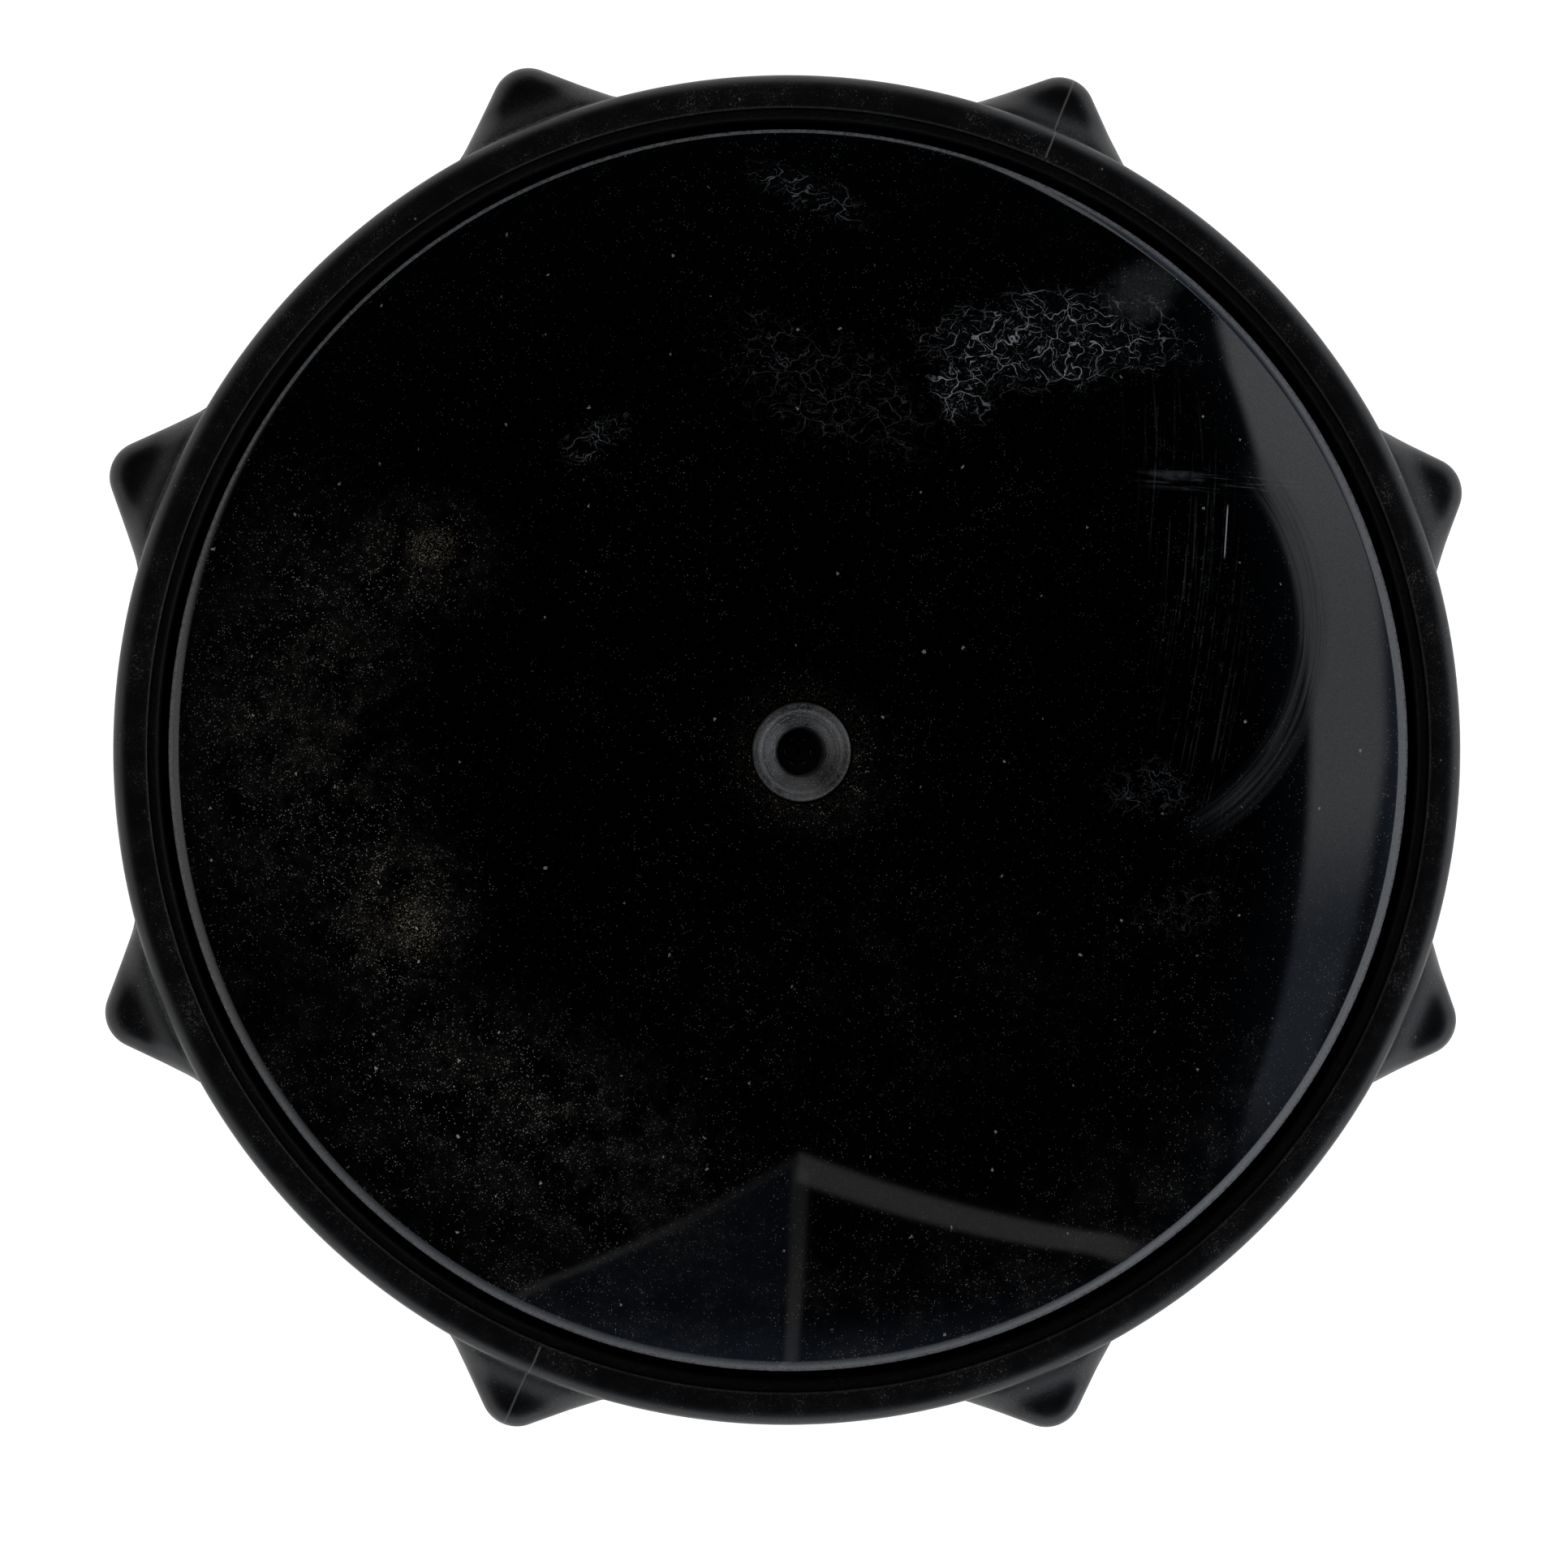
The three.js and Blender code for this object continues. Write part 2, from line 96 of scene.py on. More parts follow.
def add_camera():
    """Almost straight above, leaning a little to the left, with +Y up the picture.

    The picture is as wide as the given width, in metres, at the target's distance.
    """
    lean_left, lean_up, roll = (math.radians(a) for a in (3.66, 0.69, 0.55))
    distance, width = 1.3, 0.3836
    target = Vector((-0.00217, -0.00805, BOOT_TOP * MM))
    back = Vector((-math.sin(lean_left), math.sin(lean_up), 0))
    back.z = math.sqrt(1 - back.x**2 - back.y**2)
    side = Vector((0, 1, 0)).cross(back).normalized()
    ahead = back.cross(side)
    right = side * math.cos(roll) + ahead * math.sin(roll)
    up = back.cross(right)
    camera = bpy.data.objects.new("camera", bpy.data.cameras.new("camera"))
    camera.data.sensor_width = 36
    camera.data.lens = 36 * distance / width
    axes = Matrix((right, up, back)).transposed().to_4x4()
    camera.matrix_world = Matrix.Translation(target + back * distance) @ axes
    bpy.context.scene.collection.objects.link(camera)
    bpy.context.scene.camera = camera


# ---------------------------------------------------------------- node helpers


class Field:
    """A number that varies over a surface, with arithmetic that adds Math nodes."""

    def __init__(self, graph, socket):
        self.graph = graph
        self.socket = socket

    def __add__(self, other):
        return self.graph.math("ADD", self, other)

    def __sub__(self, other):
        return self.graph.math("SUBTRACT", self, other)

    def __rsub__(self, other):
        return self.graph.math("SUBTRACT", other, self)

    def __mul__(self, other):
        return self.graph.math("MULTIPLY", self, other)

    def __truediv__(self, other):
        return self.graph.math("DIVIDE", self, other)

    __radd__ = __add__
    __rmul__ = __mul__


class Graph:
    """A node tree that is written as formulas."""

    def __init__(self, tree):
        self.tree = tree
        tree.nodes.clear()

    def node(self, kind, inputs=(), **settings):
        made = self.tree.nodes.new(kind)
        for key, value in settings.items():
            setattr(made, key, value)
        for key, value in dict(inputs).items():
            self.feed(made.inputs[key], value)
        return made

    def feed(self, socket, value):
        if isinstance(value, Field):
            value = value.socket
        if isinstance(value, bpy.types.NodeSocket):
            self.tree.links.new(value, socket)
        else:
            socket.default_value = value

    def math(self, operation, *values):
        made = self.node("ShaderNodeMath", dict(enumerate(values)), operation=operation)
        return Field(self, made.outputs[0])

    def least(self, a, b):
        return self.math("MINIMUM", a, b)

    def most(self, a, b):
        return self.math("MAXIMUM", a, b)

    def size(self, a):
        return self.math("ABSOLUTE", a)

    def step(self, value, low, high, start=0.0, end=1.0):
        """Goes smoothly from start to end as the value goes from low to high."""
        inputs = {"Value": value, "From Min": low, "From Max": high, "To Min": start, "To Max": end}
        made = self.node("ShaderNodeMapRange", inputs, interpolation_type="SMOOTHSTEP")
        return Field(self, made.outputs[0])

    def split(self, vector):
        made = self.node("ShaderNodeSeparateXYZ", {0: vector})
        return [Field(self, out) for out in made.outputs]

    def vector(self, x, y, z):
        return self.node("ShaderNodeCombineXYZ", {0: x, 1: y, 2: z}).outputs[0]

    def place(self):
        """The point on the surface, in millimetres, as a vector and as its x, y and z."""
        coordinates = self.node("ShaderNodeTexCoord").outputs["Object"]
        inputs = {0: coordinates, "Scale": 1000.0}
        scaled = self.node("ShaderNodeVectorMath", inputs, operation="SCALE").outputs[0]
        return scaled, *self.split(scaled)

    def noise(self, vector, scale, detail=2.0, roughness=0.5, distortion=0.0):
        inputs = {
            "Vector": vector,
            "Scale": scale,
            "Detail": detail,
            "Roughness": roughness,
            "Distortion": distortion,
        }
        return Field(self, self.node("ShaderNodeTexNoise", inputs).outputs[0])

    def cells(self, vector, scale, flat=False, feature="F1"):
        """Distance to the nearest cell's centre or edge, and a random number for each cell."""
        dimensions = "2D" if flat else "3D"
        settings = {"voronoi_dimensions": dimensions, "feature": feature}
        made = self.node("ShaderNodeTexVoronoi", {"Vector": vector, "Scale": scale}, **settings)
        if feature == "DISTANCE_TO_EDGE":
            return Field(self, made.outputs["Distance"]), None
        pick = self.split(made.outputs["Color"])[0]
        return Field(self, made.outputs["Distance"]), pick

    def specks(self, vector, scale, radius, share, flat=False):
        """Round grains: a share of the cells hold one, of up to the given radius in cells."""
        distance, pick = self.cells(vector, scale, flat)
        reach = self.step(pick, 1 - share, 1.0, 0.0, radius)
        return self.step(reach - distance, 0.0, radius * 0.35)

    def colour(self, factor, first, second):
        inputs = {0: factor, 6: first, 7: second}
        made = self.node("ShaderNodeMix", inputs, data_type="RGBA")
        return made.outputs[2]

    def bump(self, height, distance, strength, normal=None):
        inputs = {"Height": height, "Distance": distance, "Strength": strength}
        if normal is not None:
            inputs["Normal"] = normal
        return self.node("ShaderNodeBump", inputs).outputs[0]


def new_material(name):
    material = bpy.data.materials.new(name)
    material.use_nodes = True
    return material, Graph(material.node_tree)


def principled(graph, **inputs):
    names = {key: key.replace("_", " ").title().replace("Ior", "IOR") for key in inputs}
    shader = graph.node("ShaderNodeBsdfPrincipled", {names[key]: inputs[key] for key in inputs})
    graph.node("ShaderNodeOutputMaterial", {"Surface": shader.outputs[0]})


def grey(value, warm=0.0):
    return (value * (1 + warm), value, value * (1 - warm), 1.0)


# ---------------------------------------------------------------- stage


def add_world():
    """A dark ceiling in a bright room, a lit panel on the right and a tent's corner in front.

    u and v are where a direction meets a ceiling one unit up.
    """
    world = bpy.data.worlds.new("studio")
    bpy.context.scene.world = world
    world.use_nodes = True
    g = Graph(world.node_tree)
    x, y, z = g.split(g.node("ShaderNodeTexCoord").outputs["Generated"])
    height = g.most(z, 0.04)
    u, v = x / height, y / height
    spread = g.math("SQRT", u * u + v * v) + 0.001
    to_right, to_back = u / spread, v / spread

    start = 1.42 + 0.25 * g.most(to_right, 0.0) + 1.2 * g.most(to_back, 0.0)
    start = start + 0.25 * g.size(to_back)
    horizon = g.step(spread, start, start + 0.45 + 1.3 * g.size(to_back))
    horizon = horizon * (1.75 + 0.35 * to_right - 0.35 * to_back)
    bulge = g.step(v, 0.3, 0.62) * g.step(v, 1.14, 1.0) * 0.07
    shape = g.step(u + bulge, 1.165, 1.215) * g.step(u - g.least(v, 0.0) * 0.19, 1.585, 1.515)
    shape = shape * g.step(v, -1.1, -0.7)
    panel = shape * (g.step(v, -0.45, -0.05, 0.12, 1.0) + g.step(v, 0.2, 0.9) * 0.4)

    # The tent's corner: two roof edges that fall away from a peak, and a seam below it.
    left_line = v + 0.715 - (u - 0.09) * 0.87
    right_line = v + 0.73 + (u - 0.09) * 0.53
    in_front = g.step(v, -0.6, -0.7)
    on_left = g.step(u, 0.085, 0.095, 1.0, 0.0)
    below = g.step(g.most(left_line, right_line), 0.0, -0.03) * in_front
    left_edge = g.step(g.size(left_line + 0.01), 0.006, 0.02, 1.0, 0.0) * on_left
    left_edge = left_edge * g.step(u, 0.0, -0.3, 0.1, 0.28)
    right_edge = g.step(g.size(right_line + 0.02), 0.026, 0.046, 1.0, 0.0) * (1 - on_left)
    edges = (left_edge + right_edge * 0.5) * in_front * g.step(u, 1.05, 0.85)
    seam = g.step(g.size(u - 0.066 + v * 0.039), 0.008, 0.022, 1.0, 0.0) * below
    seam = seam * g.step(v, -0.8, -1.3, 0.2, 0.4)

    blue = 0.001 + g.step(spread, 0.6, 1.6) * 0.012 + below * on_left * 0.05
    blue = blue + g.step(u, 0.9, 1.4) * 0.05 + g.step(u, 1.5, 1.66) * 0.3
    blue = blue + g.step(v, -1.2, -1.6) * 0.24 + shape * g.step(v, 0.0, -0.4, 0.08, 0.17)
    blue_light = {"Color": (0.6, 0.8, 1.15, 1), "Strength": blue}
    white = horizon + panel + edges + seam + 0.0005
    added = g.node(
        "ShaderNodeAddShader",
        {
            0: g.node("ShaderNodeBackground", {"Strength": white}).outputs[0],
            1: g.node("ShaderNodeBackground", blue_light).outputs[0],
        },
    )
    g.node("ShaderNodeOutputWorld", {"Surface": added.outputs[0]})


def add_floor():
    """A glowing white sheet, see-through from beneath."""
    mesh = bpy.data.meshes.new("floor")
    half = 12.0
    corners = [(-half, -half, 0), (half, -half, 0), (half, half, 0), (-half, half, 0)]
    mesh.from_pydata(corners, [], [(0, 1, 2, 3)])
    floor = bpy.data.objects.new("floor", mesh)
    floor.location.z = -0.0004
    bpy.context.scene.collection.objects.link(floor)
    material, g = new_material("floor_white")
    paper = g.node("ShaderNodeBsdfDiffuse", {"Color": grey(0.35)})
    glow = g.node("ShaderNodeEmission", {"Color": grey(1.0), "Strength": 0.95})
    top = g.node("ShaderNodeAddShader", {0: paper.outputs[0], 1: glow.outputs[0]})
    clear = g.node("ShaderNodeBsdfTransparent")
    beneath = g.node("ShaderNodeNewGeometry").outputs["Backfacing"]
    mixed = g.node("ShaderNodeMixShader", {0: beneath, 1: top.outputs[0], 2: clear.outputs[0]})
    g.node("ShaderNodeOutputMaterial", {"Surface": mixed.outputs[0]})
    mesh.materials.append(material)


def add_softbox(name, location, size, watts):
    """A broad soft light that leaves no mirror image in the glossy deck."""
    data = bpy.data.lights.new(name, "AREA")
    data.shape = "DISK"
    data.size = size
    data.energy = watts
    light = bpy.data.objects.new(name, data)
    light.location = location
    light.rotation_mode = "QUATERNION"
    light.rotation_quaternion = (-Vector(location)).to_track_quat("-Z", "Y")
    light.visible_camera = False
    light.visible_glossy = False
    bpy.context.scene.collection.objects.link(light)


# ---------------------------------------------------------------- materials


def blob(g, x, y, centre, reach, turn, ragged):
    """1 in the middle of an oval patch and 0 outside it. Its edge follows the ragged field."""
    c, s = math.cos(math.radians(turn)), math.sin(math.radians(turn))
    dx, dy = x - centre[0], y - centre[1]
    along = (dx * c + dy * s) / reach[0]
    across = (dy * c - dx * s) / reach[1]
    distance = g.math("SQRT", along * along + across * across) + (ragged - 0.5) * 1.4
    return g.step(distance, 0.35, 1.0, 1.0, 0.0)


def distance_from(g, x, y, centre):
    dx, dy = x - centre[0], y - centre[1]
    return g.math("SQRT", dx * dx + dy * dy)


def strokes(g, x, y, centre, radius_scale, length_scale, seed, share):
    """Fine scratches along arcs round a centre."""
    radius = distance_from(g, x, y, centre)
    angle = g.math("ARCTAN2", y - centre[1], x - centre[0])
    lines = g.noise(g.vector(radius * radius_scale, angle * length_scale, seed), 1.0, 1.0, 0.6)
    return g.step(lines, share, share + 0.05)


def deck_fields(g):
    """The point in mm, and the random patterns that all the deck's dirt is made from."""
    p, x, y, z = g.place()
    return SimpleNamespace(
        p=p,
        x=x,
        y=y,
        z=z,
        radius=g.math("SQRT", x * x + y * y),
        broad=g.noise(p, 0.02, 4.0, 0.6),
        mottled=g.noise(p, 0.09, 5.0, 0.65),
        clotted=g.noise(p, 0.35, 4.0, 0.65),
        grain=g.noise(p, 1.3, 2.0, 0.6),
        crumbs=g.noise(p, 2.3, 2.0, 0.75),
        powder=g.noise(p, 3.4, 1.0, 0.5),
    )


def patches(g, f, table):
    """The strongest of several ragged ovals, each a centre, reach, turn and strength."""
    strongest = None
    for centre, reach, turned, strength in table:
        one = blob(g, f.x, f.y, centre, reach, turned, f.mottled) * strength
        strongest = one if strongest is None else g.most(strongest, one)
    return strongest


def settled_dust(g, f):
    """Dust that is thick on the left and thin elsewhere: where it is, its dots and its film."""
    haze = patches(
        g,
        f,
        [
            ((-120, 4), (44, 80), 0, 0.85),
            ((-92, 46), (28, 22), 0, 1.0),
            ((-98, -40), (30, 34), 0, 1.1),
        ],
    )
    haze = haze * (1 - patches(g, f, [((-92, 6), (20, 15), 0, 0.75)]))
    thin = [
        ((-60, -92), (80, 40), -30, 0.85),
        ((20, -60), (110, 50), 10, 0.15),
        ((6, -6), (26, 20), 0, 0.6),
    ]
    haze = g.most(haze, patches(g, f, thin))
    haze = g.most(haze, g.step(f.radius, 110, 148) * g.step(f.y, 60, -90) * 0.45)

    density = haze * 0.06 + (f.clotted - 0.5) * 0.34 + (f.mottled - 0.5) * 0.2 + 0.035
    tone = g.step(f.broad, 0.35, 0.65, 0.6, 1.4)
    near, pick = g.cells(f.p, 2.8, True)
    share = g.step(density, -0.015, 0.22, 0.004, 0.31)
    size = g.step(pick + share, 1.0, 1.01) * (g.math("FRACT", pick * 97.0) * 0.3 + 0.16)
    dots = g.step(size - near, 0.0, 0.15) * tone
    large = g.step(f.grain + density * 0.4, 0.82, 0.87)
    jagged = g.vector(f.x + f.grain * 1.5, f.y - f.crumbs * 1.5, f.z)
    sparse = g.specks(jagged, 0.1, 0.04, 0.3, flat=True)
    grains = dots * (haze * 0.06 + 0.06) + large * 0.14 + sparse * 0.2

    film = haze * g.step(f.mottled, 0.38, 0.66, 0.05, 1.0) * g.step(f.clotted, 0.3, 0.7, 0.4, 1.3)
    film = film * g.step(f.powder, 0.42, 0.7, 0.25, 2.2)
    return haze, dots, grains, film


def thin_curls(g, f):
    ridge = g.size(g.noise(f.p, 0.33, 4.0, 0.62, 0.6) - 0.5)
    return g.step(ridge, 0.001, 0.008, 1.0, 0.0) * g.step(f.grain, 0.4, 0.6)


def dried_liquid(g, f, curls, dots):
    """A web of thin broken lines at the back, and cloudy patches."""
    turn_x = g.noise(f.p, 0.16, 2.0, 0.45)
    turn_y = g.noise(g.vector(f.y, f.x, 9.0), 0.16, 2.0, 0.45)
    warp = g.vector(f.x * 0.7 + turn_x * 9, f.y + turn_y * 9, f.z)
    wide, _ = g.cells(warp, 0.2, True, "DISTANCE_TO_EDGE")
    close, _ = g.cells(warp, 0.5, True, "DISTANCE_TO_EDGE")
    broken = g.step(g.noise(f.p, 0.25, 2.0, 0.5), 0.36, 0.52)
    veins = g.step(wide, 0.006, 0.028, 1.0, 0.0) * broken
    veins = veins + g.step(close, 0.012, 0.05, 0.6, 0.0) * g.step(f.clotted, 0.44, 0.56)
    web = patches(
        g,
        f,
        [
            ((60, 100), (38, 15), 4, 1.0),
            ((38, 87), (12, 9), -50, 1.0),
            ((2, 136), (18, 6), -24, 0.45),
            ((6, 88), (38, 16), -28, 0.17),
            ((-49, 75), (13, 6), 32, 0.35),
        ],
    )
    dusty = patches(g, f, [((84, -8), (15, 9), -10, 1.0), ((94, -38), (15, 8), 10, 0.7)])
    sparkle = g.step(f.crumbs, 0.3, 0.7, 0.5, 1.4)
    flecks = g.step(f.crumbs + (f.clotted - 0.5) * 0.3, 0.6, 0.72)
    knot = blob(g, f.x, f.y, (38, 84), (6, 4), 50, f.clotted) * flecks * 0.14
    dried = web * (veins * sparkle * 0.26 + curls * 0.05 + flecks * 0.05 + 0.0015) + knot
    dried = dried + dusty * (flecks * 0.05 + veins * 0.04)
    cloudy = patches(g, f, [((84, 113), (13, 9), 35, 1.0)])
    return dried + cloudy * (f.grain * 0.04 + dots * 0.08)


def wiping_marks(g, f):
    """Scratches: long faint lines, a curved smear and single strokes. Also gives the smear."""
    rubbed = blob(g, f.x, f.y, (97, 28), (15, 74), 8, f.broad)
    lines = strokes(g, f.x, f.y, (-296, 93), 1.6, 5.0, 3.0, 0.6) * g.step(f.clotted, 0.35, 0.65)
    lines = lines + strokes(g, f.x, f.y, (-250, 70), 1.1, 9.0, 6.0, 0.64) * 0.7

    centre = (70, 32)
    bend = g.math("ARCTAN2", f.y - centre[1], f.x - centre[0])
    inside = g.step(bend, -1.2, -0.75) * g.step(bend, 0.85, 0.55)
    off_smear = g.size(distance_from(g, f.x, f.y, centre) - 56.5)
    smear = g.step(off_smear, 1.8, 5.5, 1.0, 0.0) * inside
    arcs = strokes(g, f.x, f.y, centre, 1.9, 1.6, 8.0, 0.48)
    arcs = arcs + strokes(g, f.x, f.y, centre, 0.7, 1.0, 4.0, 0.5)

    slant = f.y + f.x * 0.048
    streak = g.step(g.noise(g.vector(f.x * 0.05, slant * 1.4, 5.0), 1.0, 1.0), 0.5, 0.6)
    streak = streak * g.step(g.size(slant - 71.5), 1.0, 3.2, 1.0, 0.0)
    streak = streak * g.step(g.size(f.x - 104), 12, 26, 1.0, 0.0)
    nick = g.step(g.size(f.x - 104.3 - (f.y - 54.5) * 0.08), 0.06, 0.22, 1.0, 0.0)
    nick = nick * g.step(g.size(f.y - 54.5), 5, 7, 1.0, 0.0)
    scratches = lines * rubbed * 0.018 + smear * (arcs * 0.012 + 0.006) + nick * 0.3
    scratches = scratches + streak * g.step(f.clotted, 0.3, 0.6, 0.2, 1.0) * 0.035
    return scratches, smear


def gloss_deck():
    """Near-black gloss with settled dust, dried liquid and scratches from wiping."""
    material, g = new_material("gloss_deck")
    f = deck_fields(g)
    haze, dots, grains, film = settled_dust(g, f)
    curls = thin_curls(g, f)
    dried = dried_liquid(g, f, curls, dots)
    scratches, smear = wiping_marks(g, f)

    clump = patches(g, f, [((-89, 48), (7, 6), 20, 1.0), ((-92, -43), (8, 9), 0, 1.0)])
    fibres = clump * (curls * 0.8 + g.step(f.crumbs, 0.5, 0.7) + dots) * 0.12
    round_port = g.step(f.radius, DECK_BORE_R + 0.2, 23, 1.0, 0.0)
    round_port = round_port * (dots * 0.1 + g.step(f.powder, 0.52, 0.7) * 0.02)
    worn = g.step(f.radius, DECK_R - 1.0, DECK_R - 0.7) * 0.17
    worn = worn * g.step(f.grain, 0.3, 0.6, 0.35, 1.0)

    tan = fibres + round_port + film * 0.01 + grains * haze * g.step(f.x, -20, -80)
    white = grains + dried + scratches + film * 0.006 + worn
    facing_up = g.split(g.node("ShaderNodeTexCoord").outputs["Normal"])[2]
    cover = g.least(tan + white, 1.0) * g.step(facing_up, 0.1, 0.5)
    warm = g.least(tan / (tan + white + 0.0001), 1.0)
    dust = g.colour(warm, (0.62, 0.65, 0.7, 1), (0.64, 0.53, 0.38, 1))
    base = g.colour(cover, (0.0001, 0.0001, 0.0002, 1), dust)
    rough = g.step(cover, 0.0, 0.12, 0.04, 0.4)
    shine = g.step(f.crumbs, 0.3, 0.7, 0.58, 0.42) * (1 - smear * 0.4)
    normal = g.bump(cover, 0.00004, 0.5)
    principled(
        g, base_color=base, roughness=rough, ior=1.5, specular_ior_level=shine, normal=normal
    )
    return material


def rubber():
    """Matte moulded rubber: dust on the flats and in the creases, a raised mould line, and painted
    light on the lugs.
    """
    material, g = new_material("dusty_rubber")
    p, x, y, z = g.place()
    radius = g.math("SQRT", x * x + y * y)
    grain = g.noise(p, 1.8, 3.0, 0.65)
    mottled = g.noise(p, 0.12, 4.0, 0.6)
    jagged = g.vector(x + grain * 0.7, y - grain * 0.7, z)
    crumbs = g.noise(p, 2.3, 2.0, 0.75)
    fine = g.step(crumbs + (mottled - 0.5) * 0.4, 0.64, 0.73)
    coarse = g.specks(jagged, 0.28, 0.1, 0.3)

    flat_top = g.step(z, BOOT_TOP - 1.2, BOOT_TOP - 0.2) * g.step(radius, 163.0, 160.5)
    brown = flat_top * g.step(grain, 0.45, 0.7) * g.step(mottled, 0.35, 0.7, 0.3, 1.0) * 0.008
    groove = g.step(g.size(radius - 157.45), 0.1, 0.4, 1.0, 0.0)
    groove = groove * g.step(z, BOOT_TOP - 0.7, BOOT_TOP - 0.3)
    crease_height = g.step(g.size(z - (LUG_TOP + 2.6)), 0.3, 1.3, 1.0, 0.0)
    crease = crease_height * g.step(g.size(radius - 166.0), 0.2, 0.9, 1.0, 0.0)
    off_line = g.size(x * math.sin(MOULD_LINE) - y * math.cos(MOULD_LINE))
    mould_line = g.step(off_line, 0.1, 0.3, 1.0, 0.0) * g.step(radius, 157.5, 158.5)
    pale = fine * 0.07 + coarse * 0.12 + groove * g.step(grain, 0.3, 0.6, 0.3, 1.0) * 0.016
    pale = pale + crease * g.step(grain, 0.35, 0.6, 0.4, 1.0) * 0.06 + mould_line * 0.07
    # Partly painted light: the grain-mottled pale film on the lugs' tops and slopes is a painted
    # lightening for the light they catch; the fine specks in it are dust.
    film = g.step(z, 67.0, 62.0) * g.step(radius, 164.8, 166.5) * g.step(radius, 177, 168)
    film = film * (fine * 0.04 + g.step(grain, 0.35, 0.65) * 0.012)
    cover = g.least(brown + pale + film, 1.0)
    warm = g.least(brown / (cover + 0.0001), 1.0)
    dust = g.colour(warm, (0.66, 0.67, 0.68, 1), (0.62, 0.54, 0.42, 1))
    base = g.colour(cover, (0.001, 0.001, 0.0012, 1), dust)
    rough = g.step(mottled, 0.3, 0.7, 0.38, 0.48)
    normal = g.bump(grain, 0.00007, 0.5)
    normal = g.bump(mould_line, 0.0002, 0.8, normal)
    principled(g, base_color=base, roughness=rough, ior=1.4, normal=normal)
    return material


def matte_plastic():
    """The chassis ring's dull black, with a little brown dust."""
    material, g = new_material("matte_plastic")
    p = g.place()[0]
    grain = g.noise(p, 1.5, 3.0, 0.65)
    mottled = g.noise(p, 0.1, 3.0, 0.6)
    fine = g.step(g.noise(p, 2.3, 2.0, 0.75) + (mottled - 0.5) * 0.3, 0.68, 0.75)
    brown = g.step(grain, 0.45, 0.7) * g.step(mottled, 0.3, 0.7, 0.3, 1.0) * 0.006
    cover = brown + fine * 0.04
    base = g.colour(cover, (0.0005, 0.0005, 0.0006, 1), (0.62, 0.57, 0.47, 1))
    rough = g.step(grain, 0.3, 0.7, 0.42, 0.55)
    normal = g.bump(grain, 0.00006, 0.5)
    principled(g, base_color=base, roughness=rough, ior=1.3, normal=normal)
    return material


def turned_metal(name, low, high, rough, metallic, dust=0.0, rings=4.0, painted_light_patches=()):
    """Fine rings from the lathe round the axis, with stains, a little dust and any painted light.

    Each patch is painted highlight where it lightens and painted shade where it darkens:
    its centre, its reach and how much it lightens.
    """
    material, g = new_material(name)
    p, x, y, z = g.place()
    radius = g.math("SQRT", x * x + y * y)
    tool = g.noise(g.vector(radius * rings, z * rings, 0.0), 1.0, 2.0, 0.7)
    stain = g.noise(p, 0.25, 4.0, 0.6)
    level = g.step(stain, 0.35, 0.7)
    if painted_light_patches:
        level = level * 0.2 + g.step(tool, 0.35, 0.65) * 0.1 + 0.2
    # Painted highlight and painted shade: each patch lightens or darkens the colour.
    for centre, reach, gain in painted_light_patches:
        level = level + blob(g, x, y, centre, reach, 0, stain) * gain
    shade = g.colour(level, low, high)
    fine = g.specks(p, 0.9, 0.25, 0.3) * 0.5 + g.step(g.noise(p, 2.5, 2.0), 0.5, 0.7) * 0.35
    base = g.colour(fine * dust, shade, (0.66, 0.64, 0.6, 1))
    roughness = g.step(tool, 0.3, 0.7, rough - 0.06, rough + 0.1)
    normal = g.bump(tool, 0.00008, 0.5)
    principled(g, base_color=base, roughness=roughness, metallic=metallic, normal=normal)
    return material


def plain_finish(name, low, high, rough, scale=0.8):
    """A moulded or drawn surface with gentle variation of colour and gloss."""
    material, g = new_material(name)
    p = g.place()[0]
    grain = g.noise(p, scale, 3.0, 0.6)
    base = g.colour(grain, low, high)
    roughness = g.step(grain, 0.3, 0.7, rough - 0.06, rough + 0.08)
    principled(g, base_color=base, roughness=roughness, normal=g.bump(grain, 0.00003, 0.4))
    return material


# ---------------------------------------------------------------- mesh helpers


def make_object(name, bm, material, body, sharp=32):
    """A visible piece from a bmesh, smooth except at edges sharper than the given degrees."""
    for edge in bm.edges:
        if len(edge.link_faces) == 2:
            edge.smooth = edge.calc_face_angle() < math.radians(sharp)
    for face in bm.faces:
        face.smooth = True
    mesh = bpy.data.meshes.new(name)
    bm.to_mesh(mesh)
    bm.free()
    mesh.materials.append(material)
    made = bpy.data.objects.new(name, mesh)
    bpy.context.scene.collection.objects.link(made)
    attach(made, body)
    return made


def rounded(outline, reach):
    """Rounds every corner of a closed outline by up to the given distance."""
    steps = 3
    result = []
    for i, point in enumerate(outline):
        corner = Vector(point)
        before = Vector(outline[i - 1]) - corner
        after = Vector(outline[(i + 1) % len(outline)]) - corner
        if before.length < 1e-6 or after.length < 1e-6 or before.angle(after) > math.radians(168):
            result.append(tuple(corner))
            continue
        cut = min(reach, before.length * 0.45, after.length * 0.45)
        first, last = corner + before.normalized() * cut, corner + after.normalized() * cut
        for k in range(steps + 1):
            t = k / steps
            middle = first * (1 - t) ** 2 + corner * 2 * t * (1 - t) + last * t**2
            result.append(tuple(middle))
    return result


def hex_limit(across_flats, angle):
    """Distance from a hexagon's centre to its side, in the direction of the angle."""
    return across_flats / 2 / math.cos(angle % (TURN / 6) - TURN / 12)


